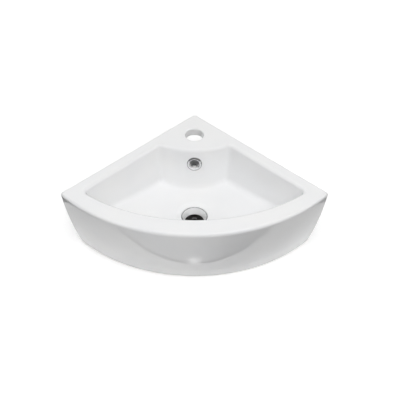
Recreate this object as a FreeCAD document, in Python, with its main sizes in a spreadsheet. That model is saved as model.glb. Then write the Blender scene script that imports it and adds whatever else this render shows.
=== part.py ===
"""Wall-hung corner basin: one fired ceramic body, a chromed overflow ring and a slotted waste.

Frame: millimetres, +Z up. The origin is the corner of the room at the height of the rim: the two
wall planes and the top of the deck meet there. The front of the basin points towards -Y.
"""

import FreeCAD, Part
import os

import Sketcher

DOC = FreeCAD.newDocument("corner_basin")
SHEET = DOC.addObject("Spreadsheet::Sheet", "sizes")
UP = FreeCAD.Vector(0, 0, 1)
ALONG_X = FreeCAD.Vector(1, 0, 0)
TINY = 0.01

SIZES = [
    # Outline, measured from the room's corner; the front arc moves back as it goes down
    ("rim_front", 336.0, "room corner to the front of the rim"),
    ("waist_recess", 9.5, "how far the front moves back by half height"),
    ("base_recess", 29.0, "how far the front moves back by the lower edge"),
    ("rim_arc", 318.0, "radius of the front arc at the rim"),
    ("waist_arc", 310.0, "radius of the front arc at half height"),
    ("base_arc", 301.0, "radius of the front arc at the lower edge"),
    ("body_height", 135.0, "rim to lower edge"),
    ("room_corner_round", 8.0, "rounding of the vertical edge in the room's corner"),
    ("side_corner_round", 7.0, "rounding of the two side corners"),
    ("rim_round", 5.0, "rounding of the outer top edge"),
    ("base_round", 3.5, "rounding of the lower edge"),
    # Bowl
    ("ledge_width", 24.0, "wall face to the bowl's side wall, at the rim"),
    ("side_draft", 9.0, "draft of the bowl's side walls, degrees"),
    ("tap_ledge", 118.0, "room corner to the bowl's back edge"),
    ("ledge_arc", 138.0, "radius of the bowl's back edge"),
    ("back_draft", 8.5, "draft of the bowl's back wall, degrees"),
    ("front_rim", 38.0, "width of the rim at the front"),
    ("bowl_front_arc", 306.0, "radius of the bowl's front edge"),
    ("front_draft", 12.0, "draft of the bowl's front wall, degrees"),
    ("floor_depth", 88.0, "rim to the floor at the waste dish"),
    ("floor_fall", 10.0, "fall of the floor towards the waste, degrees"),
    ("bowl_round", 10.0, "rounding inside the bowl"),
    ("deck_round", 6.5, "rounding of the edge between deck and bowl"),
    # Thickness of the ceramic
    ("deck_thick", 15.0, "thickness of the deck"),
    ("apron_skin", 11.0, "thickness of the front apron"),
    ("wall_skin", 10.0, "thickness of the two faces on the walls"),
    ("bowl_skin", 10.0, "thickness of the bowl's walls"),
    ("floor_thick", 12.0, "thickness of the bowl's floor"),
    # Tap hole, open rear corner and wall fixings
    ("tap_setback", 68.5, "room corner to the tap hole's axis"),
    ("tap_radius", 17.5, "radius of the tap hole"),
    ("tap_round", 2.5, "rounding of the tap hole's top edge"),
    ("corner_gap", 90.0, "width of the open corner under the deck"),
    ("fixing_pitch", 128.0, "between the wall fixings, measured across the basin"),
    ("fixing_drop", 62.0, "rim to the wall fixings"),
    ("fixing_radius", 7.0, "radius of the wall fixing holes"),
    # Overflow
    ("overflow_drop", 28.5, "rim to the overflow's axis"),
    ("overflow_radius", 11.0, "radius of the overflow hole in the ceramic"),
    ("duct_width", 36.0, "width of the overflow duct"),
    ("duct_depth", 9.0, "depth of the overflow duct behind the bowl"),
    ("duct_floor", 118.0, "rim to the floor of the duct"),
    ("duct_skin", 8.0, "thickness of the ceramic round the duct"),
    ("ring_radius", 14.0, "outer radius of the overflow ring"),
    ("ring_proud", 2.2, "how far the overflow ring stands out"),
    ("ring_edge", 0.75, "thickness of the overflow ring's edge"),
    ("ring_fall", 2.4, "width of the overflow ring's outer slope"),
    ("ring_turn", 1.0, "width of the overflow ring's inner slope"),
    ("ring_opening", 9.0, "radius of the overflow ring's opening"),
    ("sleeve_wall", 1.4, "wall of the ring's sleeve"),
    ("sleeve_reach", 2.6, "how far the sleeve reaches past the bowl's wall"),
    ("snap_height", 0.9, "height of the snap bead over the sleeve"),
    ("leg_count", 6.0, "number of sprung legs on the sleeve"),
    ("leg_slot", 3.6, "width of the slots between the legs"),
    # Waste hole in the ceramic
    ("waste_setback", 197.5, "room corner to the waste's axis"),
    ("dish_radius", 34.0, "outer radius of the waste dish"),
    ("dish_edge", 24.9, "inner radius of the waste dish"),
    ("dish_fall", 20.0, "fall of the waste dish, degrees"),
    ("boss_radius", 37.0, "radius of the boss round the waste hole"),
    ("boss_floor", 126.0, "rim to the underside of the boss"),
    # Waste
    ("lip_radius", 23.6, "outer radius of the waste's lip"),
    ("lip_wall", 1.3, "width of the waste's lip"),
    ("lip_bevel", 1.0, "depth of the bevel inside the waste's lip"),
    ("lip_proud", 0.3, "how far the lip stands over the dish edge"),
    ("funnel_depth", 13.5, "depth of the waste's funnel"),
    ("tail_radius", 20.955, "radius of the tail, a G 1 1/4 thread"),
    ("tail_bore", 18.0, "radius of the waste's bore"),
    ("tail_length", 84.0, "lip to the end of the tail"),
    ("tail_chamfer", 1.2, "chamfer at the end of the tail"),
    ("slot_width", 10.0, "width of the two overflow slots in the tail"),
    ("slot_height", 12.0, "height of the overflow slots"),
    ("fit_gap", 0.1, "clearance between fitted round pieces"),
    ("seal_reach", 6.0, "height of the seal round the funnel"),
    ("washer_radius", 31.0, "outer radius of the lower rubber washer"),
    ("washer_thick", 5.5, "thickness of the lower rubber washer"),
    ("washer_spigot", 4.0, "how far the rubber washer enters the hole"),
    ("slip_radius", 29.0, "outer radius of the slip washer"),
    ("slip_thick", 1.5, "thickness of the slip washer"),
    ("nut_flats", 52.0, "back nut across flats"),
    ("nut_thick", 9.0, "thickness of the back nut"),
    ("nut_collar", 1.2, "height of the round collar on the back nut"),
    ("nut_bite", 0.74, "how deep the back nut's thread bites into the tail"),
    ("nut_relief", 1.0, "free height of the bitten part under the back nut"),
    # Construction
    ("overcut", 5.0, "how far cutting shapes run past what they cut"),
]


def fill_sheet():
    for row, (alias, number, note) in enumerate(SIZES, start=1):
        SHEET.set("A%d" % row, note)
        SHEET.set("B%d" % row, "%.3f" % number)
        SHEET.setAlias("B%d" % row, alias)
    DOC.recompute()


def worth(formula):
    """The number that a formula over the sheet gives now."""
    return float(SHEET.evalExpression(formula))


def bind(thing, **formulas):
    for place, formula in formulas.items():
        thing.setExpression(place, formula)


def move(thing, x="0", y="0", z="0"):
    """Tie the place of an object to formulas."""
    thing.setExpression("Placement.Base.x", x)
    thing.setExpression("Placement.Base.y", y)
    thing.setExpression("Placement.Base.z", z)


def add(kind, name, **formulas):
    thing = DOC.addObject(kind, name)
    bind(thing, **formulas)
    return thing


def cut(name, base, tool):
    result = DOC.addObject("Part::Cut", name)
    result.Base = base
    result.Tool = tool
    return result


def joined(kind, name, shapes):
    result = DOC.addObject(kind, name)
    result.Shapes = shapes
    return result


def rounded(name, base, picks):
    """A fillet of the edges that each (test, size name) pair picks."""
    DOC.recompute()
    edges = []
    for test, size in picks:
        radius = worth(size)
        for number, edge in enumerate(base.Shape.Edges, start=1):
            if test(edge):
                edges.append((number, radius, radius))
    result = DOC.addObject("Part::Fillet", name)
    result.Base = base
    result.Edges = edges
    DOC.recompute()
    return result


def middle(edge):
    return edge.valueAt((edge.FirstParameter + edge.LastParameter) / 2)


def level(edge, height):
    """True for an edge that lies flat at a height."""
    box = edge.BoundBox
    return abs(box.ZMin - height) < TINY and abs(box.ZMax - height) < TINY


def edge_names(feature, test):
    return ["Edge%d" % n for n, edge in enumerate(feature.Shape.Edges, start=1) if test(edge)]


def new_sketch(body, name, plane, height=None):
    sketch = body.newObject("Sketcher::SketchObject", name)
    origin_plane = [f for f in body.Origin.OriginFeatures if f.Role == plane][0]
    sketch.AttachmentSupport = (origin_plane, "")
    sketch.MapMode = "FlatFace"
    if height:
        sketch.setExpression("AttachmentOffset.Base.z", height)
    return sketch


def constrain(sketch, formula, kind, *where):
    index = sketch.addConstraint(Sketcher.Constraint(kind, *where, worth(formula)))
    sketch.setExpression("Constraints[%d]" % index, formula)


def outline(sketch, points):
    """A closed run of straight lines through points, each given by two formulas."""
    corners = [FreeCAD.Vector(worth(x), worth(y), 0) for x, y in points]
    for number, corner in enumerate(corners):
        sketch.addGeometry(Part.LineSegment(corner, corners[(number + 1) % len(corners)]), False)
    for number, (x, y) in enumerate(points):
        following = (number + 1) % len(points)
        sketch.addConstraint(Sketcher.Constraint("Coincident", number, 2, following, 1))
        constrain(sketch, x, "DistanceX", -1, 1, number, 1)
        constrain(sketch, y, "DistanceY", -1, 1, number, 1)


def ring_outline(sketch, radius, y="0"):
    centre = FreeCAD.Vector(0, worth(y), 0)
    sketch.addGeometry(Part.Circle(centre, UP, worth(radius)), False)
    sketch.addConstraint(Sketcher.Constraint("PointOnObject", 0, 3, -2))
    constrain(sketch, y, "DistanceY", -1, 1, 0, 3)
    constrain(sketch, radius, "Radius", 0)


def turned(name, points):
    """A body turned round its own vertical axis, from (radius, height) points."""
    body = DOC.addObject("PartDesign::Body", name)
    sketch = new_sketch(body, name + "_profile", "XZ_Plane")
    outline(sketch, points)
    turn = body.newObject("PartDesign::Revolution", name + "_turn")
    turn.Profile = sketch
    turn.ReferenceAxis = (sketch, ["V_Axis"])
    turn.Angle = 360
    DOC.recompute()
    return body


FRONTS = ("sizes.rim_front", "(sizes.rim_front - sizes.waist_recess)",
          "(sizes.rim_front - sizes.base_recess)")
ARCS = ("sizes.rim_arc", "sizes.waist_arc", "sizes.base_arc")


def profile_at(share, levels):
    """Formula for a size at a share of the height: a parabola through its values at the rim, the
    waist and the base."""
    rim, waist, base = levels
    slope = f"(4 * {waist} - 3 * {rim} - {base})"
    curve = f"(2 * {rim} - 4 * {waist} + 2 * {base})"
    return f"({rim} + {slope} * ({share}) + {curve} * ({share}) ^ 2)"


def quadrant(name, shares, skin, inset):
    """The basin's outer form, drawn in by skin at the front and by inset at the walls."""
    body = DOC.addObject("PartDesign::Body", name)
    sections = []
    for number, share in enumerate(shares):
        sketch = new_sketch(body, "%s_section_%d" % (name, number), "XY_Plane",
                            f"-sizes.body_height * ({share})")
        arc = profile_at(share, ARCS)
        ring_outline(sketch, f"{arc} - {skin}", f"{arc} - {profile_at(share, FRONTS)}")
        sections.append(sketch)
    loft = body.newObject("PartDesign::AdditiveLoft", name + "_loft")
    loft.Profile = sections[0]
    loft.Sections = sections[1:]
    walls = new_sketch(body, name + "_walls", "XY_Plane")
    far = "(sizes.rim_front + sizes.rim_arc)"
    apex = f"-({inset}) * sqrt(2)"
    outline(walls, [("0", apex), (f"-{far}", f"{apex} - {far}"), (f"-{far}", far), (far, far),
                    (far, f"{apex} - {far}")])
    sides = body.newObject("PartDesign::Pocket", name + "_sides")
    sides.Profile = walls
    sides.Type = "ThroughAll"
    DOC.recompute()
    return body, sides


def outer_form():
    body, sides = quadrant("outer", ("0", "0.5", "1"), "0", "0")
    height = worth("sizes.body_height")

    def upright(edge):
        return edge.BoundBox.ZLength > height / 2

    corner = body.newObject("PartDesign::Fillet", "outer_room_corner")
    corner.Base = (sides, edge_names(sides, lambda e: upright(e) and abs(middle(e).x) < TINY))
    corner.setExpression("Radius", "sizes.room_corner_round")
    DOC.recompute()
    tips = body.newObject("PartDesign::Fillet", "outer_side_corners")
    reach = worth("sizes.rim_front") / 2
    tips.Base = (corner, edge_names(corner, lambda e: upright(e) and abs(middle(e).x) > reach))
    tips.setExpression("Radius", "sizes.side_corner_round")
    DOC.recompute()
    rim = body.newObject("PartDesign::Fillet", "outer_rim")
    rim.Base = (tips, edge_names(tips, lambda e: level(e, 0)))
    rim.setExpression("Radius", "sizes.rim_round")
    DOC.recompute()
    base = body.newObject("PartDesign::Fillet", "outer_base")
    base.Base = (rim, edge_names(rim, lambda e: level(e, -height)))
    base.setExpression("Radius", "sizes.base_round")
    DOC.recompute()
    return body


def bowl_form(name, skin, floor):
    """The bowl, grown by skin at its walls and by floor at its bottom: two drafted side walls, a
    drafted back that bulges forward, a drafted front arc and a floor that falls to the waste."""
    well = f"(sizes.floor_depth + {floor} + sizes.overcut)"
    over = "sizes.overcut"

    def grown(size, draft, sign):
        top = f"({size}) {sign} {over} * tan(sizes.{draft})"
        opposite = "-" if sign == "+" else "+"
        return top, f"({size}) {opposite} {well} * tan(sizes.{draft})"

    side_top, side_low = grown(f"sizes.ledge_width - {skin}", "side_draft", "-")
    sides = add("Part::Wedge", name + "_sides", Ymin=f"-{well}", Ymax=over,
                Xmin=side_low, Zmin=side_low, X2min=side_top, Z2min=side_top,
                Xmax="sizes.rim_front", Zmax="sizes.rim_front",
                X2max="sizes.rim_front", Z2max="sizes.rim_front")
    sides.Placement.Rotation = FreeCAD.Rotation(UP, -45) * FreeCAD.Rotation(ALONG_X, 90)

    front_top, front_low = grown(f"sizes.bowl_front_arc + {skin}", "front_draft", "+")
    front = add("Part::Cone", name + "_front", Radius1=front_low, Radius2=front_top,
                Height=f"{well} + {over}")
    move(front, y="sizes.bowl_front_arc - (sizes.rim_front - sizes.front_rim)", z=f"-{well}")

    back_top, back_low = grown(f"sizes.ledge_arc - {skin}", "back_draft", "-")
    back = add("Part::Cone", name + "_back", Radius1=back_low, Radius2=back_top,
               Height=f"{well} + {over}")
    move(back, y="sizes.ledge_arc - sizes.tap_ledge", z=f"-{well}")

    rise = f"(sizes.floor_depth + {floor} + {over})"
    dish = add("Part::Cone", name + "_floor", Radius1="sizes.dish_radius",
               Radius2=f"sizes.dish_radius + {rise} / tan(sizes.floor_fall)", Height=rise)
    move(dish, y="-sizes.waste_setback", z=f"-(sizes.floor_depth + {floor})")
    return cut(name, joined("Part::MultiCommon", name + "_walls", [sides, front, dish]), back)


def waste_hole():
    """The dish, the tapered entry and the straight hole that the waste goes through."""
    edge = "sizes.dish_edge"
    hole = waste_hole_radius()
    drop = dish_drop()
    through = "-(sizes.boss_floor - sizes.floor_depth + sizes.overcut)"
    tool = turned("waste_hole", [
        ("0", "sizes.overcut"), ("sizes.dish_radius", "sizes.overcut"), ("sizes.dish_radius", "0"),
        (edge, f"-{drop}"), (hole, f"-{drop} - sizes.funnel_depth"), (hole, through), ("0", through)])
    move(tool, y="-sizes.waste_setback", z="-sizes.floor_depth")
    return tool


def dish_drop():
    return "((sizes.dish_radius - sizes.dish_edge) * tan(sizes.dish_fall))"


def waste_hole_radius():
    return "(sizes.dish_edge - sizes.lip_radius + sizes.tail_radius)"


def box(name, half_width, back, front, low, high):
    """A box centred on the basin's middle, from its back to its front and low to high."""
    result = add("Part::Box", name, Width=f"({front}) - ({back})", Height=f"({high}) - ({low})",
                 Length=f"2 * ({half_width})")
    move(result, x=f"-({half_width})", y=f"-({front})", z=f"{low}")
    return result


def overflow_axis(thing, depth="0"):
    """Set an object on the overflow's axis, square to the bowl's back wall."""
    thing.Placement.Rotation = FreeCAD.Rotation(ALONG_X, 90 - worth("sizes.back_draft"))
    wall = "(sizes.tap_ledge + sizes.overflow_drop * tan(sizes.back_draft))"
    move(thing, y=f"-{wall} + ({depth}) * cos(sizes.back_draft)",
         z=f"-sizes.overflow_drop - ({depth}) * sin(sizes.back_draft)")


def duct_parts(bowl_shell):
    """The overflow duct and the ceramic round it."""
    back = "(sizes.tap_ledge - sizes.bowl_skin - sizes.duct_depth)"
    void_block = box("duct_block", "sizes.duct_width / 2", back, "sizes.waste_setback",
                     "-sizes.duct_floor", "-sizes.deck_thick")
    void = cut("duct", void_block, bowl_shell)
    housing = box("duct_housing", "sizes.duct_width / 2 + sizes.duct_skin",
                  f"{back} - sizes.duct_skin", "sizes.waste_setback", "-sizes.boss_floor", "0")
    return void, housing


def underside(bowl_shell, housing):
    """The hollow under the basin: inside the apron and the wall faces, outside the bowl's shell."""
    start = "sizes.deck_thick / sizes.body_height"
    end = "1 + sizes.overcut / sizes.body_height"
    hollow, _ = quadrant("hollow", (start, f"0.5 + {start} / 2", end), "sizes.apron_skin",
                         "sizes.wall_skin")
    boss = add("Part::Cylinder", "waste_boss", Radius="sizes.boss_radius",
               Height="sizes.boss_floor - sizes.floor_depth")
    move(boss, y="-sizes.waste_setback", z="-sizes.boss_floor")
    kept = joined("Part::MultiFuse", "kept_ceramic", [bowl_shell, housing, boss])
    return cut("underside", hollow, kept)


def wall_fixing(name, side):
    """A hole through a wall face for a hanger bolt; side is -1 on the left and 1 on the right."""
    hole = add("Part::Cylinder", name, Radius="sizes.fixing_radius",
               Height="sizes.wall_skin + 2 * sizes.overcut")
    inward = FreeCAD.Vector(-side, -1, 0)
    hole.Placement.Rotation = FreeCAD.Rotation(UP, inward)
    move(hole, x=f"{side} * (sizes.fixing_pitch / 2 + sizes.overcut / sqrt(2))",
         y="-sizes.fixing_pitch / 2 + sizes.overcut / sqrt(2)", z="-sizes.fixing_drop")
    return hole


def basin():
    bowl = bowl_form("bowl", "0", "0")
    top = worth("sizes.overcut")
    mouth = worth("sizes.floor_depth")
    soft_bowl = rounded("bowl_rounded", bowl, [
        (lambda e: e.BoundBox.ZMin < top - TINY and e.BoundBox.ZMax > TINY - mouth,
         "sizes.bowl_round")])
    bowl_shell = bowl_form("bowl_shell", "sizes.bowl_skin", "sizes.floor_thick")
    duct, housing = duct_parts(bowl_shell)
    tap = add("Part::Cylinder", "tap_hole", Radius="sizes.tap_radius",
              Height="sizes.deck_thick + 2 * sizes.overcut")
    move(tap, y="-sizes.tap_setback", z="-sizes.deck_thick - sizes.overcut")
    gap = box("open_corner", "sizes.corner_gap / 2", "-sizes.overcut",
              "sizes.corner_gap / 2 + sizes.wall_skin * sqrt(2) + sizes.overcut",
              "-sizes.body_height - sizes.overcut", "-sizes.deck_thick")
    overflow = add("Part::Cylinder", "overflow_hole", Radius="sizes.overflow_radius",
                   Height="sizes.bowl_skin + 2 * sizes.overcut")
    overflow_axis(overflow, "sizes.bowl_skin + sizes.overcut")
    tools = joined("Part::MultiFuse", "cut_tools", [
        underside(bowl_shell, housing), duct, tap, gap, overflow, waste_hole(),
        wall_fixing("fixing_left", -1), wall_fixing("fixing_right", 1)])
    dug = cut("dug", outer_form(), soft_bowl)
    hollowed = cut("hollowed", dug, tools)
    DOC.recompute()
    bowl_faces = soft_bowl.Shape
    tap_point = FreeCAD.Vector(0, -worth("sizes.tap_setback"), 0)

    def bowl_edge(edge):
        return level(edge, 0) and bowl_faces.distToShape(Part.Vertex(middle(edge)))[0] < TINY

    def tap_edge(edge):
        return level(edge, 0) and edge.BoundBox.Center.distanceToPoint(tap_point) < TINY

    result = rounded("basin", hollowed, [(bowl_edge, "sizes.deck_round"),
                                         (tap_edge, "sizes.tap_round")])
    result.Label = "basin"
    return result


def overflow_ring():
    """A domed ring on a sleeve of sprung legs that snap behind the bowl's wall."""
    opening = "sizes.ring_opening"
    sleeve = "(sizes.ring_opening + sizes.sleeve_wall)"
    reach = "(sizes.bowl_skin + sizes.sleeve_reach)"
    bead = f"({sleeve} + sizes.snap_height)"
    proud = "sizes.ring_proud"
    body = turned("overflow_ring", [
        (opening, f"-{reach}"), (sleeve, f"-{reach}"), (bead, f"-{reach} + sizes.sleeve_reach / 2"),
        (sleeve, f"-{reach} + sizes.sleeve_reach - sizes.fit_gap"), (sleeve, "0"),
        ("sizes.ring_radius", "0"), ("sizes.ring_radius", "sizes.ring_edge"),
        ("sizes.ring_radius - sizes.ring_fall", proud), (f"{opening} + sizes.ring_turn", proud),
        (opening, "sizes.ring_edge")])
    slot = new_sketch(body, "leg_slot", "YZ_Plane")
    half = "sizes.leg_slot / 2"
    end = f"-{reach} - sizes.overcut"
    outline(slot, [(f"-{half}", end), (half, end), (half, f"-{proud}"), (f"-{half}", f"-{proud}")])
    first = body.newObject("PartDesign::Pocket", "leg_slot_cut")
    first.Profile = slot
    first.Reversed = True
    first.setExpression("Length", "sizes.ring_radius")
    legs = body.newObject("PartDesign::PolarPattern", "leg_slots")
    legs.Originals = [first]
    legs.Axis = (body.Origin.OriginFeatures[2], [""])
    legs.Angle = 360
    legs.setExpression("Occurrences", "sizes.leg_count")
    body.Tip = legs
    overflow_axis(body)
    return body


def on_waste_axis(body):
    move(body, y="-sizes.waste_setback",
         z=f"sizes.lip_proud - sizes.floor_depth - {dish_drop()}")


def from_lip(depth_from_rim):
    """Formula that turns a depth under the rim into a depth under the waste's lip."""
    return f"({depth_from_rim} - sizes.floor_depth - {dish_drop()} + sizes.lip_proud)"


def entry_radius(depth):
    """Radius of the ceramic's tapered entry at a depth under the waste's lip."""
    taper = f"(sizes.dish_edge - {waste_hole_radius()}) / sizes.funnel_depth"
    return f"(sizes.dish_edge - ({depth} - sizes.lip_proud) * {taper})"


def funnel_radius(depth):
    """Outer radius of the waste's funnel at a depth under the lip."""
    taper = "(sizes.lip_radius - sizes.tail_radius) / (sizes.funnel_depth - sizes.lip_wall)"
    return f"(sizes.lip_radius - ({depth} - sizes.lip_wall) * {taper})"


def nut_top():
    """Depth of the back nut's top face under the waste's lip."""
    return f"({from_lip('sizes.boss_floor')} + sizes.washer_thick + sizes.slip_thick)"


def waste_body():
    """A funnel with a thin lip on a threaded tail, with two slots for the overflow's water. The
    tail is drawn in where the back nut's thread holds it."""
    lip = "sizes.lip_wall"
    bitten = "sizes.tail_radius - sizes.nut_bite"
    nut_foot = f"{nut_top()} + sizes.nut_thick + sizes.nut_relief"
    body = turned("waste_body", [
        ("sizes.tail_bore", "-sizes.tail_length"),
        ("sizes.tail_radius - sizes.tail_chamfer", "-sizes.tail_length"),
        ("sizes.tail_radius", "-sizes.tail_length + sizes.tail_chamfer"),
        ("sizes.tail_radius", f"-({nut_foot})"), (bitten, f"-({nut_foot})"),
        (bitten, f"-{nut_top()}"), ("sizes.tail_radius", f"-{nut_top()}"),
        ("sizes.tail_radius", "-sizes.funnel_depth"), ("sizes.lip_radius", f"-{lip}"),
        ("sizes.lip_radius", f"-{lip} / 4"), (f"sizes.lip_radius - {lip} / 4", "0"),
        (f"sizes.lip_radius - {lip}", "-sizes.lip_bevel"), ("sizes.tail_bore", "-sizes.funnel_depth")])
    slots = new_sketch(body, "waste_slots", "XZ_Plane")
    half = "sizes.slot_width / 2"
    low = from_lip("sizes.duct_floor")
    outline(slots, [(f"-{half}", f"-{low}"), (half, f"-{low}"),
                    (half, f"-{low} + sizes.slot_height"), (f"-{half}", f"-{low} + sizes.slot_height")])
    opened = body.newObject("PartDesign::Pocket", "waste_slots_cut")
    opened.Profile = slots
    opened.Midplane = True
    opened.setExpression("Length", "4 * sizes.tail_radius")
    on_waste_axis(body)
    return body


def funnel_seal():
    """The soft ring between the waste's funnel and the ceramic's tapered entry."""
    start = "(2 * sizes.lip_wall)"
    end = f"({start} + sizes.seal_reach)"
    gap = "sizes.fit_gap"
    body = turned("waste_funnel_seal", [
        (f"{funnel_radius(end)} + {gap}", f"-{end}"), (f"{entry_radius(end)} - {gap}", f"-{end}"),
        (f"{entry_radius(start)} - {gap}", f"-{start}"),
        (f"{funnel_radius(start)} + {gap}", f"-{start}")])
    on_waste_axis(body)
    return body


def lower_washer():
    """The rubber washer under the boss, with a spigot that centres the tail in the hole."""
    bore = "(sizes.tail_radius + sizes.fit_gap)"
    spigot = f"({waste_hole_radius()} - sizes.fit_gap)"
    top = from_lip("sizes.boss_floor")
    body = turned("waste_rubber_washer", [
        (bore, f"-{top} - sizes.washer_thick"), ("sizes.slip_radius", f"-{top} - sizes.washer_thick"),
        ("sizes.washer_radius", f"-{top} - sizes.washer_thick / 3"),
        ("sizes.washer_radius", f"-{top}"), (spigot, f"-{top}"),
        (spigot, f"-{top} + sizes.washer_spigot"), (bore, f"-{top} + sizes.washer_spigot")])
    on_waste_axis(body)
    return body


def slip_washer():
    bore = "(sizes.tail_radius + 2 * sizes.fit_gap)"
    top = f"({from_lip('sizes.boss_floor')} + sizes.washer_thick)"
    body = turned("waste_slip_washer", [
        (bore, f"-{top} - sizes.slip_thick"), ("sizes.slip_radius", f"-{top} - sizes.slip_thick"),
        ("sizes.slip_radius", f"-{top}"), (bore, f"-{top}")])
    on_waste_axis(body)
    return body


def back_nut():
    """A hexagonal nut with a round collar against the slip washer and chamfered corners."""
    top = nut_top()
    body = DOC.addObject("PartDesign::Body", "waste_back_nut")
    hexagon = new_sketch(body, "nut_hexagon", "XY_Plane")
    across = "sizes.nut_flats / 2"
    tip = "sizes.nut_flats / sqrt(3)"
    outline(hexagon, [(tip, "0"), (f"{tip} / 2", across), (f"-{tip} / 2", across), (f"-{tip}", "0"),
                      (f"-{tip} / 2", f"-{across}"), (f"{tip} / 2", f"-{across}")])
    hexagon.setExpression("AttachmentOffset.Base.z", f"-{top} - sizes.nut_thick")
    block = body.newObject("PartDesign::Pad", "nut_block")
    block.Profile = hexagon
    block.setExpression("Length", "sizes.nut_thick - sizes.nut_collar")
    DOC.recompute()
    collar = new_sketch(body, "nut_collar", "XY_Plane", f"-{top} - sizes.nut_collar")
    ring_outline(collar, "sizes.nut_flats / 2")
    raised = body.newObject("PartDesign::Pad", "nut_collar_pad")
    raised.Profile = collar
    raised.setExpression("Length", "sizes.nut_collar")
    DOC.recompute()
    bore = new_sketch(body, "nut_bore", "XY_Plane", f"-{top} + sizes.overcut")
    ring_outline(bore, "sizes.tail_radius - sizes.nut_bite + sizes.fit_gap")
    drilled = body.newObject("PartDesign::Pocket", "nut_bore_cut")
    drilled.Profile = bore
    drilled.Type = "ThroughAll"
    on_waste_axis(body)
    return body


def check_document():
    for thing in DOC.Objects:
        if any(word in thing.State for word in ("Invalid", "Error")):
            raise RuntimeError("%s failed: %s" % (thing.Label, thing.State))


def write_parts(pieces):
    os.makedirs("parts", exist_ok=True)
    for piece in pieces:
        if piece.Shape.isNull() or not piece.Shape.isValid():
            raise RuntimeError("%s has no valid shape" % piece.Label)
    for piece in pieces:
        piece.Shape.exportStep("parts/%s.step" % piece.Label)
        box_ = piece.Shape.BoundBox
        print("%-20s solids %d  volume %9.1f cm3  X %.1f..%.1f  Y %.1f..%.1f  Z %.1f..%.1f" % (
            piece.Label, len(piece.Shape.Solids), piece.Shape.Volume / 1000, box_.XMin, box_.XMax,
            box_.YMin, box_.YMax, box_.ZMin, box_.ZMax))


fill_sheet()
PIECES = [basin(), overflow_ring(), waste_body(), funnel_seal(), lower_washer(), slip_washer(),
          back_nut()]
DOC.recompute()
check_document()
write_parts(PIECES)
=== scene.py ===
"""Looks of a wall-hung corner basin: glazed china, a chromed overflow ring and a chromed waste.

The seven CAD nodes are shown as they are, each with a procedural material, on a pale bench in a
white studio. Lengths are in metres in the frame's axes: the origin is the corner of the room at
the rim's height, the front is towards -Y, and Z is up. A pair of numbers is the start and the end
of a soft edge, or a range.
"""

import math

import bpy
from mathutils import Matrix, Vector

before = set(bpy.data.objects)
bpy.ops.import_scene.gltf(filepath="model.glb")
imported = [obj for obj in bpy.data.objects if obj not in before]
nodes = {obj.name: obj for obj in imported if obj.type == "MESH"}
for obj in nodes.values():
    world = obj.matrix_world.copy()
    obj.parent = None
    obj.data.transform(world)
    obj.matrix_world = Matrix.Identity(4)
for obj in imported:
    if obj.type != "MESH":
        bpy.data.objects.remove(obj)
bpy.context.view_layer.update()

# ---------------------------------------------------------------- places of the marks
# Radii are taken from the waste's axis, feet and tops along Z.
WASTE_AXIS = (0.0, -0.1975, 0.0)
STAINED_FLOOR = (0.026, 0.075)
LIP_RADIUS = (0.0231, 0.0233)
FUNNEL_RADIUS = (0.0222, 0.0226)
BORE_RADIUS = (0.0204, 0.0207)
BEVEL_FOOT = (-0.0923, -0.0918)
FUNNEL_TOP = (-0.0924, -0.0919)
BORE_TOP = (-0.1057, -0.1045)
APRON_FOOT = (-0.1335, -0.1310)
WATERWAY_HALF = (0.0186, 0.0190)
WATERWAY_FRONT = (-0.2240, -0.2230)
WATERWAY_BACK = (-0.0984, -0.0980)
WATERWAY_FOOT = (-0.1190, -0.1186)
WATERWAY_TOP = (-0.1060, -0.0990)
# The overflow ring's middle and the way that it faces; its back is along that way, and its edge
# is the distance from its middle.
RING_PLACE = (0.0, -0.12226, -0.0285)
RING_AXIS = (0.0, -0.98902, 0.14781)
RING_BACK = (-0.0002, 0.0006)
RING_EDGE = (0.0126, 0.0134)

# ---------------------------------------------------------------- colours and finishes
BLACK = (0.0, 0.0, 0.0, 1.0)
WHITE = (1.0, 1.0, 1.0, 1.0)
GLAZE_COOL = (0.890, 0.894, 0.902, 1.0)
GLAZE_WARM = (0.908, 0.908, 0.906, 1.0)
GLAZE_SPECK = (0.62, 0.60, 0.57, 1.0)
LIMESCALE = (0.80, 0.79, 0.75, 1.0)
# Painted shade for the hidden foot of the overflow's duct.
DUCT_SHADE = (0.075, 0.068, 0.058, 1.0)
CLAY_DARK = (0.66, 0.65, 0.62, 1.0)
CLAY_PALE = (0.78, 0.77, 0.74, 1.0)
PLATE_DARK = (0.80, 0.81, 0.82, 1.0)
PLATE_PALE = (0.88, 0.885, 0.89, 1.0)
DRIED_DROP = (0.62, 0.62, 0.61, 1.0)
SATIN_DARK = (0.92, 0.92, 0.92, 1.0)
SATIN_PALE = (0.97, 0.97, 0.97, 1.0)
# Painted shade: the near black of the waste's bore.
BORE_DARK = (0.016, 0.015, 0.014, 1.0)
BORE_PALE = (0.045, 0.041, 0.037, 1.0)
SLEEVE_DARK = (0.92, 0.92, 0.91, 1.0)
SLEEVE_PALE = (0.96, 0.96, 0.95, 1.0)
# Painted shade at the overflow ring's outer edge.
RING_EDGE_SHADE = (0.06, 0.06, 0.06, 1.0)
RUBBER = (0.013, 0.013, 0.014, 1.0)
RUBBER_DUST = (0.045, 0.044, 0.042, 1.0)
SLIP_DARK = (0.70, 0.70, 0.67, 1.0)
SLIP_PALE = (0.78, 0.78, 0.76, 1.0)
BRASS = (0.76, 0.60, 0.30, 1.0)
BRASS_TARNISH = (0.46, 0.33, 0.16, 1.0)

GLAZE_IOR = 1.6
GLAZE_ROUGH = (0.030, 0.060)
LIMESCALE_ROUGH = 0.9
CLAY_ROUGH = 0.62
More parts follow.
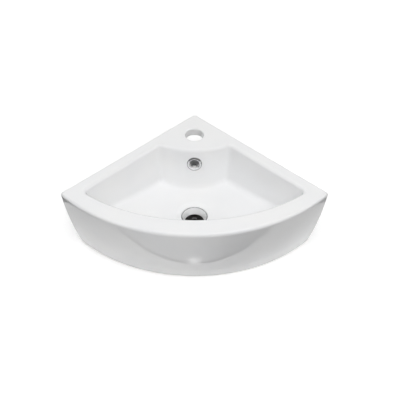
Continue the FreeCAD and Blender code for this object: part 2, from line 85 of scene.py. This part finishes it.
# Roughness where the duct's foot is painted with shade.
DUCT_SHADE_ROUGH = 0.75
PLATE_ROUGH = (0.05, 0.11)
DROP_ROUGH = 0.12
SATIN_TO_BORE_ROUGH = (0.34, 0.7)
SATIN_TO_BORE_METAL = (0.15, 0.0)
SLEEVE_ROUGH = 0.35
RUBBER_ROUGH = (0.48, 0.72)
SLIP_ROUGH = (0.36, 0.5)
BRASS_ROUGH = (0.22, 0.46)
# Noise cells per metre along each axis, and radians per metre of radius.
HAIRLINES = (60.0, 60.0, 2400.0)
SLIP_GROOVES = 9000.0
BRASS_GROOVES = 14000.0

# ---------------------------------------------------------------- stage
# The bench carries the apron's foot. Its front edge is at BENCH_EDGE in the middle and bows
# forward by BENCH_BOW times x squared, up to BENCH_BOW_MOST.
BENCH_HIGH = -0.1355
BENCH_BACK = 0.25
BENCH_EDGE = -0.335
BENCH_HALF = 0.325
BENCH_BOW = 0.55
BENCH_BOW_MOST = 0.012
BENCH_STEPS = 26
BENCH_GREY, BENCH_LIFT = 0.93, 0.30
HOLE_HALF, HOLE_FRONT, HOLE_BACK = 0.06, -0.265, -0.13
BACKDROP_HALF, BACKDROP_HIGH = 6.0, -0.82
BACKDROP_GREY, BACKDROP_LIFT = 0.9, 1.0
# The dark studio in front of and beside the bench, and the painted light on its floor: from left to
# right, and fading to both sides, with a painted shadow and a glowing painted glint by the bench's
# edge.
DARK_HALF, DARK_FRONT, DARK_MIDDLE = 1.5, -2.2, -0.30
DARK_HIGH = BENCH_HIGH - 0.002
DARK_GREY = 0.02
# Painted light: the studio floor is paler on the left and fades to both sides.
FLOOR_TONES, FLOOR_CHANGE = (0.80, 0.25), (0.0, 0.10)
FLOOR_FADE, FLOOR_END = (0.20, 0.42), 0.1
# Painted shadow of the bench on the studio floor, under its edge.
BENCH_SHADOW = (BENCH_EDGE - 0.012, BENCH_EDGE - 0.002)
# A painted glint: a spot of the floor that glows for glossy rays only.
GLINT = 1.8
GLINT_ACROSS = (0.002, 0.022)
GLINT_ALONG = (BENCH_EDGE - 0.030, BENCH_EDGE - 0.004)

# ---------------------------------------------------------------- light and camera
# Turns are from the front, with the photograph's right positive; turns and rises are in degrees.
ROOM_DARK_TURN, ROOM_DARK_RISE, ROOM_DARK_SPREAD = 0.0, 8.0, 62.0
ROOM_DARK_DEPTH, ROOM_DARKEST = 3.0, 0.03
# Name, turn, rise and power in watts.
LIGHTS = (("front_high", 0.0, 65.0, 27.6), ("front_low", 0.0, 45.0, 3.8),
          ("front_right", 40.0, 35.0, 5.0), ("side_left", -95.0, 28.0, 2.8),
          ("side_right", 95.0, 28.0, 3.8), ("back_left", -140.0, 38.0, 9.2),
          ("back_right", 140.0, 38.0, 4.0))
SOFTBOX_SIZE = 1.8
SOFTBOX_REACH = 1.9
SOFTBOX_AIM = (0.0, -0.17, -0.05)
CAMERA_PLACE = (0.0, -1.0605, 0.7576)
CAMERA_DIP = 43.08
CAMERA_LENS, CAMERA_SENSOR = 58.5, 36.0
CAMERA_SHIFT = (0.0139, -0.0015)


# ---------------------------------------------------------------- shader helpers
def new_material(name):
    """A material with an empty node tree."""
    mat = bpy.data.materials.new(name)
    mat.use_nodes = True
    mat.node_tree.nodes.clear()
    return mat, mat.node_tree


def make(tree, kind, inputs=None, **settings):
    """A new node. Each input is linked to an output or set to a plain value."""
    node = tree.nodes.new(kind)
    for key, value in settings.items():
        setattr(node, key, value)
    for key, value in (inputs or {}).items():
        if isinstance(value, bpy.types.NodeSocket):
            tree.links.new(value, node.inputs[key])
        else:
            node.inputs[key].default_value = value
    return node


def compute(tree, operation, *values):
    """The result of a Math node."""
    return make(tree, "ShaderNodeMath", dict(enumerate(values)), operation=operation).outputs[0]


def times(tree, first, second):
    return compute(tree, "MULTIPLY", first, second)


def plus(tree, first, second):
    return compute(tree, "ADD", first, second)


def larger(tree, first, second):
    return compute(tree, "MAXIMUM", first, second)


def remap(tree, value, given, wanted):
    """The value carried smoothly from one range to another, and held at its ends."""
    return make(tree, "ShaderNodeMapRange", {
        "Value": value, "From Min": given[0], "From Max": given[1],
        "To Min": wanted[0], "To Max": wanted[1],
    }, clamp=True, interpolation_type="SMOOTHSTEP").outputs["Result"]


def above(tree, value, edge):
    """0 below a soft edge and 1 above it."""
    return remap(tree, value, edge, (0.0, 1.0))


def below(tree, value, edge):
    """1 below a soft edge and 0 above it."""
    return remap(tree, value, edge, (1.0, 0.0))


def noise(tree, where, scale, detail=3.0, rough=0.5):
    return make(tree, "ShaderNodeTexNoise", {
        "Vector": where, "Scale": scale, "Detail": detail, "Roughness": rough,
    }).outputs["Fac"]


def spots(tree, where, scale):
    """Distance from the nearest of many scattered points."""
    return make(tree, "ShaderNodeTexVoronoi", {"Vector": where, "Scale": scale}).outputs["Distance"]


def blend(tree, factor, first, second):
    """A colour between two others; the Mix node's colour sockets are 6 and 7."""
    return make(tree, "ShaderNodeMix", {0: factor, 6: first, 7: second},
                data_type="RGBA", blend_type="MIX").outputs[2]


def relief(tree, *layers):
    """A normal with layers of bump, each a (height, strength, distance) on top of the last."""
    normal = {}
    for height, strength, distance in layers:
        node = make(tree, "ShaderNodeBump",
                    {"Height": height, "Strength": strength, "Distance": distance, **normal})
        normal = {"Normal": node.outputs["Normal"]}
    return normal["Normal"]


def place(tree):
    """The point in the frame: every CAD object stands at the origin."""
    return make(tree, "ShaderNodeTexCoord").outputs["Object"]


def split(tree, vector):
    """A vector's three parts."""
    return make(tree, "ShaderNodeSeparateXYZ", {0: vector}).outputs


def offset(tree, where, point):
    """The vector from a fixed point."""
    return make(tree, "ShaderNodeVectorMath", {0: where, 1: point},
                operation="SUBTRACT").outputs[0]


def along(tree, vector, direction):
    """How far a vector goes in a fixed direction."""
    return make(tree, "ShaderNodeVectorMath", {0: vector, 1: direction},
                operation="DOT_PRODUCT").outputs["Value"]


def around_waste(tree, where):
    """Distance from the waste's axis and height, for marks that run round it."""
    x, y, height = split(tree, offset(tree, where, WASTE_AXIS))
    square = plus(tree, times(tree, x, x), times(tree, y, y))
    return compute(tree, "SQRT", square), height


def turned(tree, where, grooves):
    """Fine waves round the waste's axis, as a lathe or a mould leaves them."""
    radius, _ = around_waste(tree, where)
    return compute(tree, "SINE", times(tree, radius, grooves))


def close(tree, shader, kind="ShaderNodeOutputMaterial"):
    """Send a shader to the output."""
    make(tree, kind, {"Surface": shader.outputs[0]})


def surface(tree, inputs):
    """A Principled shader with these inputs, as the material's surface."""
    close(tree, make(tree, "ShaderNodeBsdfPrincipled", inputs))


def matt_and_glow(tree, colour, strength):
    """A matt surface that also shines by itself."""
    matt = make(tree, "ShaderNodeBsdfDiffuse", {"Color": colour})
    glow = make(tree, "ShaderNodeEmission", {"Strength": strength})
    close(tree, make(tree, "ShaderNodeAddShader", {0: matt.outputs[0], 1: glow.outputs[0]}))


def ray(tree, kind):
    """1 for rays of one kind, such as Is Glossy Ray, and 0 for all others."""
    return make(tree, "ShaderNodeLightPath").outputs[kind]


# ---------------------------------------------------------------- materials of the basin
def glazed_china():
    """White glaze with faint clouds, specks and water stains round the waste, painted shade in the
    waterway's hidden foot, and bare matt clay on the apron's lower edge."""
    mat, tree = new_material("glazed_china")
    where = place(tree)
    radius, height = around_waste(tree, where)

    cloud = noise(tree, where, scale=9.0, detail=4.0, rough=0.55)
    glaze = blend(tree, above(tree, cloud, (0.35, 0.65)), GLAZE_COOL, GLAZE_WARM)
    patches = noise(tree, where, scale=42.0, detail=5.0, rough=0.6)
    stain_and_shade = times(tree, below(tree, radius, STAINED_FLOOR),
                  remap(tree, patches, (0.45, 0.75), (0.0, 0.10)))
    glaze = blend(tree, stain_and_shade, glaze, LIMESCALE)
    rare = remap(tree, noise(tree, where, scale=70.0), (0.62, 0.66), (0.0, 0.18))
    speck = times(tree, below(tree, spots(tree, where, scale=260.0), (0.035, 0.06)), rare)
    glaze = blend(tree, speck, glaze, GLAZE_SPECK)
    # Painted shade in the hidden foot of the overflow's duct.
    duct_shade = waterway(tree, where, height)
    glaze = blend(tree, duct_shade, glaze, DUCT_SHADE)

    worn = noise(tree, where, scale=120.0, detail=3.0, rough=0.6)
    bare = times(tree, below(tree, height, APRON_FOOT),
                 remap(tree, worn, (0.3, 0.5), (0.7, 1.0)))
    clay = blend(tree, noise(tree, where, scale=300.0, detail=2.0), CLAY_DARK, CLAY_PALE)

    haze = noise(tree, where, scale=26.0, detail=4.0, rough=0.6)
    rough = plus(tree, remap(tree, haze, (0.3, 0.7), GLAZE_ROUGH),
                 times(tree, stain_and_shade, LIMESCALE_ROUGH))
    rough = larger(tree, rough, times(tree, bare, CLAY_ROUGH))
    rough = larger(tree, rough, times(tree, duct_shade, DUCT_SHADE_ROUGH))

    grain = noise(tree, where, scale=900.0, detail=2.0, rough=0.6)
    normal = relief(tree, (noise(tree, where, scale=14.0, detail=2.0), 0.05, 0.002),
                    (noise(tree, where, scale=240.0, detail=2.0), 0.03, 0.0004),
                    (speck, 0.25, 0.0002),
                    (times(tree, bare, grain), 0.3, 0.0004))
    surface(tree, {"Base Color": blend(tree, bare, glaze, clay), "Roughness": rough,
                   "IOR": GLAZE_IOR, "Normal": normal})
    return mat


def waterway(tree, where, height):
    """1 in the hidden foot of the overflow's duct, which is painted dark as shade."""
    x, y, _ = split(tree, where)
    inside = times(tree, below(tree, compute(tree, "ABSOLUTE", x), WATERWAY_HALF),
                   below(tree, y, WATERWAY_BACK))
    inside = times(tree, inside, above(tree, y, WATERWAY_FRONT))
    low = times(tree, above(tree, height, WATERWAY_FOOT), below(tree, height, WATERWAY_TOP))
    return times(tree, inside, low)


def plated(name, worn):
    """Bright plate with fine hairlines and dried drops. Worn gives where the plate gives way (0 to
    1), and the colour, roughness and metallic value there: what is under it, and some painted
    shade."""
    mat, tree = new_material(name)
    where = place(tree)
    drop = below(tree, spots(tree, where, scale=190.0), (0.12, 0.34))
    dried = times(tree, drop, above(tree, noise(tree, where, scale=55.0), (0.5, 0.64)))
    haze = noise(tree, where, scale=130.0, detail=4.0, rough=0.6)
    plate = blend(tree, haze, PLATE_DARK, PLATE_PALE)
    plate = blend(tree, times(tree, dried, 0.3), plate, DRIED_DROP)
    rough = plus(tree, remap(tree, haze, (0.3, 0.7), PLATE_ROUGH),
                 times(tree, dried, DROP_ROUGH))
    # Part of what worn gives is painted shade: the waste's dark bore and bevel line, the ring's
    # edge.
    bare, under, dull, metallic = worn(tree, where)
    metal = plus(tree, compute(tree, "SUBTRACT", 1.0, bare), times(tree, bare, metallic))
    hair = make(tree, "ShaderNodeMapping", {"Vector": where, "Scale": HAIRLINES}).outputs[0]
    normal = relief(tree, (noise(tree, hair, scale=1.0, detail=2.0), 0.06, 0.0001),
                    (dried, 0.10, 0.0001))
    surface(tree, {"Base Color": blend(tree, bare, plate, under),
                   "Roughness": larger(tree, rough, times(tree, bare, dull)),
                   "Metallic": metal, "Normal": normal})
    return mat


def satin_and_shaded_bore(tree, where):
    """The waste's finishes and painted shade: satin in the funnel, a dark line of painted shade on
    the lip's bevel, and a bore that is unplated, rough and not metallic, and painted near black as
    shade."""
    radius, height = around_waste(tree, where)
    ragged = remap(tree, noise(tree, where, scale=180.0, detail=4.0, rough=0.6),
                   (0.2, 0.5), (0.9, 1.0))
    # Painted shade: the bore is painted near black.
    bore = times(tree, below(tree, radius, BORE_RADIUS), below(tree, height, BORE_TOP))
    bore = times(tree, bore, ragged)
    funnel = times(tree, below(tree, radius, FUNNEL_RADIUS), below(tree, height, FUNNEL_TOP))
    # Painted shade: a dark line on the lip's bevel.
    bevel = times(tree, below(tree, radius, LIP_RADIUS), above(tree, height, BEVEL_FOOT))
    broken = noise(tree, where, scale=120.0, detail=4.0, rough=0.6)
    line = times(tree, bevel, remap(tree, broken, (0.3, 0.6), (0.55, 0.85)))
    dark = larger(tree, bore, line)
    satin = blend(tree, noise(tree, where, scale=90.0, detail=4.0, rough=0.6),
                  SATIN_DARK, SATIN_PALE)
    stain_and_shade = blend(tree, noise(tree, where, scale=240.0, detail=4.0, rough=0.6),
                  BORE_DARK, BORE_PALE)
    return (larger(tree, funnel, dark), blend(tree, dark, satin, stain_and_shade),
            remap(tree, dark, (0.0, 1.0), SATIN_TO_BORE_ROUGH),
            remap(tree, dark, (0.0, 1.0), SATIN_TO_BORE_METAL))


def bare_sleeve(tree, where):
    """The ring's look: white plastic behind its plated face, and painted shade at its outer edge.
    """
    moved = offset(tree, where, RING_PLACE)
    back = below(tree, along(tree, moved, RING_AXIS), RING_BACK)
    far = make(tree, "ShaderNodeVectorMath", {0: moved}, operation="LENGTH").outputs["Value"]
    broken = noise(tree, where, scale=160.0, detail=4.0, rough=0.6)
    # Painted shade where the ring's outer edge meets the china.
    edge_shade = times(tree, above(tree, far, RING_EDGE),
                 remap(tree, broken, (0.3, 0.6), (0.75, 1.0)))
    sleeve = blend(tree, noise(tree, where, scale=300.0), SLEEVE_DARK, SLEEVE_PALE)
    return larger(tree, back, edge_shade), blend(tree, edge_shade, sleeve, RING_EDGE_SHADE), SLEEVE_ROUGH, 0.0


def rubber():
    """Black rubber with a fine grain and dust on it."""
    mat, tree = new_material("black_rubber")
    where = place(tree)
    dust = remap(tree, noise(tree, where, scale=160.0, detail=5.0, rough=0.65),
                 (0.45, 0.75), (0.0, 0.5))
    grain = noise(tree, where, scale=1500.0, detail=2.0, rough=0.6)
    normal = relief(tree, (grain, 0.25, 0.0002),
                    (noise(tree, where, scale=90.0), 0.1, 0.0006))
    surface(tree, {"Base Color": blend(tree, dust, RUBBER, RUBBER_DUST),
                   "Roughness": remap(tree, dust, (0.0, 0.5), RUBBER_ROUGH),
                   "Normal": normal})
    return mat


def slip_plastic():
    """Pale plastic with the fine rings of its mould."""
    mat, tree = new_material("slip_plastic")
    where = place(tree)
    tone = noise(tree, where, scale=80.0)
    surface(tree, {"Base Color": blend(tree, tone, SLIP_DARK, SLIP_PALE),
                   "Roughness": remap(tree, tone, (0.3, 0.7), SLIP_ROUGH),
                   "Normal": relief(tree, (turned(tree, where, SLIP_GROOVES), 0.08, 0.0001))})
    return mat


def brass():
    """Plain brass, turned on its faces and dulled to brown in patches."""
    mat, tree = new_material("turned_brass")
    where = place(tree)
    tarnish = above(tree, noise(tree, where, scale=60.0, detail=5.0, rough=0.65), (0.42, 0.72))
    normal = relief(tree, (turned(tree, where, BRASS_GROOVES), 0.10, 0.0001),
                    (noise(tree, where, scale=700.0), 0.12, 0.0002))
    surface(tree, {"Base Color": blend(tree, tarnish, BRASS, BRASS_TARNISH),
                   "Roughness": remap(tree, tarnish, (0.0, 1.0), BRASS_ROUGH),
                   "Metallic": 1.0, "Normal": normal})
    return mat


def dress(node_name, mat):
    """Put a material in a CAD node's slot."""
    mesh = nodes[node_name].data
    mesh.materials.clear()
    mesh.materials.append(mat)


# ---------------------------------------------------------------- stage
def seen_rays(tree):
    """1 for the camera and for what glaze and metal show, 0 for rays that carry light."""
    shown = larger(tree, ray(tree, "Is Camera Ray"), ray(tree, "Is Transmission Ray"))
    return larger(tree, shown, ray(tree, "Is Glossy Ray"))


def white_ground(name, grey, lift):
    """A matt white surface that is lifted to white where it is seen and keeps its shadows."""
    mat, tree = new_material(name)
    matt_and_glow(tree, (grey, grey, grey, 1.0), times(tree, seen_rays(tree), lift))
    return mat


def studio_dark():
    """The dark studio round the bench, with painted shade darkest under its edge and painted light
    in front and on the left; a spot in the middle glows for the glaze to mirror, a painted glint."""
    mat, tree = new_material("studio_dark")
    x, y, _ = split(tree, place(tree))
    bow = compute(tree, "MINIMUM", times(tree, BENCH_BOW, times(tree, x, x)), BENCH_BOW_MOST)
    from_edge = plus(tree, y, bow)
    side = compute(tree, "ABSOLUTE", x)
    # Painted light: paler on the left, fading to both sides.
    tone = times(tree, remap(tree, x, FLOOR_CHANGE, FLOOR_TONES),
                 remap(tree, side, FLOOR_FADE, (1.0, FLOOR_END)))
    # Painted shadow under the bench's edge.
    tone = times(tree, tone, below(tree, from_edge, BENCH_SHADOW))
    # A painted glint, which glows for glossy rays only.
    glint = times(tree, below(tree, side, GLINT_ACROSS),
                  remap(tree, from_edge, GLINT_ALONG, (0.0, GLINT)))
    matt_and_glow(tree, blend(tree, plus(tree, tone, DARK_GREY), BLACK, WHITE),
                  times(tree, glint, ray(tree, "Is Glossy Ray")))
    return mat


def level_faces(name, faces, z, mat):
    """Flat faces at one height, each given by its corners' (x, y), as one stage object."""
    points, runs = [], []
    for face in faces:
        runs.append(tuple(range(len(points), len(points) + len(face))))
        points.extend((x, y, z) for x, y in face)
    mesh = bpy.data.meshes.new(name)
    mesh.from_pydata(points, [], runs)
    mesh.materials.append(mat)
    thing = bpy.data.objects.new(name, mesh)
    bpy.context.scene.collection.objects.link(thing)
    return thing


def rectangle(x_low, x_high, y_low, y_high):
    return [(x_low, y_low), (x_high, y_low), (x_high, y_high), (x_low, y_high)]


def bench():
    """A pale bench top with a hole for the waste's tail. Its front edge bows forward to the sides,
    and its mirror image is the smile on the apron."""
    front = []
    for step in range(BENCH_STEPS + 1):
        x = BENCH_HALF * (2.0 * step / BENCH_STEPS - 1.0)
        front.append((x, BENCH_EDGE - min(BENCH_BOW * x * x, BENCH_BOW_MOST)))
    inner = [(x, HOLE_FRONT) for x in (BENCH_HALF, HOLE_HALF, -HOLE_HALF, -BENCH_HALF)]
    level_faces("bench", [rectangle(-BENCH_HALF, -HOLE_HALF, HOLE_FRONT, BENCH_BACK),
                          rectangle(HOLE_HALF, BENCH_HALF, HOLE_FRONT, BENCH_BACK),
                          rectangle(-HOLE_HALF, HOLE_HALF, HOLE_BACK, BENCH_BACK),
                          front + inner],
                BENCH_HIGH, white_ground("bench_white", BENCH_GREY, BENCH_LIFT))


def backdrop():
    """The white floor under and far round the bench."""
    level_faces("backdrop", [rectangle(-BACKDROP_HALF, BACKDROP_HALF,
                                       -BACKDROP_HALF, BACKDROP_HALF)],
                BACKDROP_HIGH, white_ground("backdrop_white", BACKDROP_GREY, BACKDROP_LIFT))


def dark_side():
    """The dark studio in front of and beside the bench, which only the glaze and metal show."""
    faces = [rectangle(-DARK_HALF, DARK_HALF, DARK_FRONT, DARK_MIDDLE),
             rectangle(-DARK_HALF, -BENCH_HALF, DARK_MIDDLE, BENCH_BACK),
             rectangle(BENCH_HALF, DARK_HALF, DARK_MIDDLE, BENCH_BACK)]
    level_faces("dark_side", faces, DARK_HIGH, studio_dark()).visible_camera = False


# ---------------------------------------------------------------- light and camera
def toward(turn, rise):
    """Direction at a turn from the front (right is positive) and a height, in degrees."""
    turn, rise = math.radians(turn), math.radians(rise)
    return (math.sin(turn) * math.cos(rise), -math.cos(turn) * math.cos(rise), math.sin(rise))


def studio_world():
    """A white room that is seen but gives no light. The glaze sees it dark on the camera's side."""
    world = bpy.data.worlds.new("studio")
    bpy.context.scene.world = world
    world.use_nodes = True
    tree = world.node_tree
    tree.nodes.clear()
    direction = make(tree, "ShaderNodeTexCoord").outputs["Generated"]
    facing = along(tree, direction, toward(ROOM_DARK_TURN, ROOM_DARK_RISE))
    dark = remap(tree, facing, (math.cos(math.radians(ROOM_DARK_SPREAD)), 1.0),
                 (0.0, ROOM_DARK_DEPTH))
    dark = times(tree, ray(tree, "Is Glossy Ray"), dark)
    bright = larger(tree, compute(tree, "SUBTRACT", 1.0, dark), ROOM_DARKEST)
    unlit = make(tree, "ShaderNodeBackground", {"Strength": 0.0})
    room = make(tree, "ShaderNodeBackground", {"Color": WHITE, "Strength": bright})
    mixer = make(tree, "ShaderNodeMixShader",
                 {0: seen_rays(tree), 1: unlit.outputs[0], 2: room.outputs[0]})
    close(tree, mixer, "ShaderNodeOutputWorld")


def softbox(name, turn, rise, power):
    """A large soft light aimed at the basin. Its own picture stays out of the glaze, which shows
    the white room instead."""
    data = bpy.data.lights.new(name, "AREA")
    data.shape = "SQUARE"
    data.size = SOFTBOX_SIZE
    data.energy = power
    lamp = bpy.data.objects.new(name, data)
    away = Vector(toward(turn, rise))
    lamp.location = Vector(SOFTBOX_AIM) + SOFTBOX_REACH * away
    lamp.rotation_euler = (-away).to_track_quat("-Z", "Y").to_euler()
    lamp.visible_camera = False
    lamp.visible_glossy = False
    bpy.context.scene.collection.objects.link(lamp)


def camera():
    """The photograph's point of view."""
    data = bpy.data.cameras.new("camera")
    data.lens = CAMERA_LENS
    data.sensor_width = CAMERA_SENSOR
    data.shift_x, data.shift_y = CAMERA_SHIFT
    cam = bpy.data.objects.new("camera", data)
    cam.location = CAMERA_PLACE
    cam.rotation_euler = (math.radians(90.0 - CAMERA_DIP), 0.0, 0.0)
    bpy.context.scene.collection.objects.link(cam)
    bpy.context.scene.camera = cam


# ---------------------------------------------------------------- the scene
china = glazed_china()
black = rubber()
for name, mat in (("basin", china), ("overflow_ring", plated("ring_chrome", bare_sleeve)),
                  ("waste_body", plated("waste_chrome", satin_and_shaded_bore)),
                  ("waste_funnel_seal", black), ("waste_rubber_washer", black),
                  ("waste_slip_washer", slip_plastic()), ("waste_back_nut", brass())):
    dress(name, mat)

studio_world()
bench()
backdrop()
dark_side()
for name, turn, rise, power in LIGHTS:
    softbox(name, turn, rise, power)
camera()

bpy.context.scene.view_settings.view_transform = "Standard"
